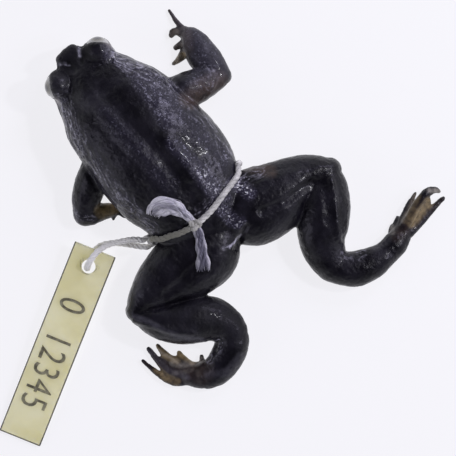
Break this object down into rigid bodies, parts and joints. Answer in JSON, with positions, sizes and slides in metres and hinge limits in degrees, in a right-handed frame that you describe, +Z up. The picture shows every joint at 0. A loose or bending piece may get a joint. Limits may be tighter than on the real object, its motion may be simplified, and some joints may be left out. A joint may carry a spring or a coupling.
{
  "type": "southern gastric-brooding frog model",
  "caption": "Still, life-size gastric-brooding frog lying on its belly, limbs spread, with a string tied round its waist and a tag on the string.",
  "frame": {"origin": "on the floor under the flat of the belly, half way along the body", "axes": "+Z up, -Y towards the snout, +X towards the frog's left"},
  "size_m": [0.0923, 0.0712, 0.0148],
  "materials": {
    "frog_skin": "wet, glossy, finely granular dark skin",
    "pale_skin": "wet skin of hands and feet, paler on palms, soles and webs",
    "eye": "clouded, glossy eyeball",
    "cotton_string": "twisted damp white cotton",
    "tag_card": "cream stiff tag with pressed digits"
  },
  "bodies": {
    "root": {"head": "frog_skin", "torso": "frog_skin", "upper_arm_right": "frog_skin", "forearm_right": "frog_skin", "upper_arm_left": "frog_skin", "thigh_right": "frog_skin", "shank_right": "frog_skin", "tarsus_right": "frog_skin", "thigh_left": "frog_skin", "shank_left": "frog_skin", "tarsus_left": "frog_skin", "forearm_left": "pale_skin", "hand_right": "pale_skin", "hand_left": "pale_skin", "foot_right": "pale_skin", "foot_left": "pale_skin", "eye_right": "eye", "eye_left": "eye", "string_waist": "cotton_string", "string_knot": "cotton_string", "string_curl": "cotton_string", "string_tail": "cotton_string", "string_tag": "cotton_string", "tag": "tag_card"}
  },
  "joints": []
}
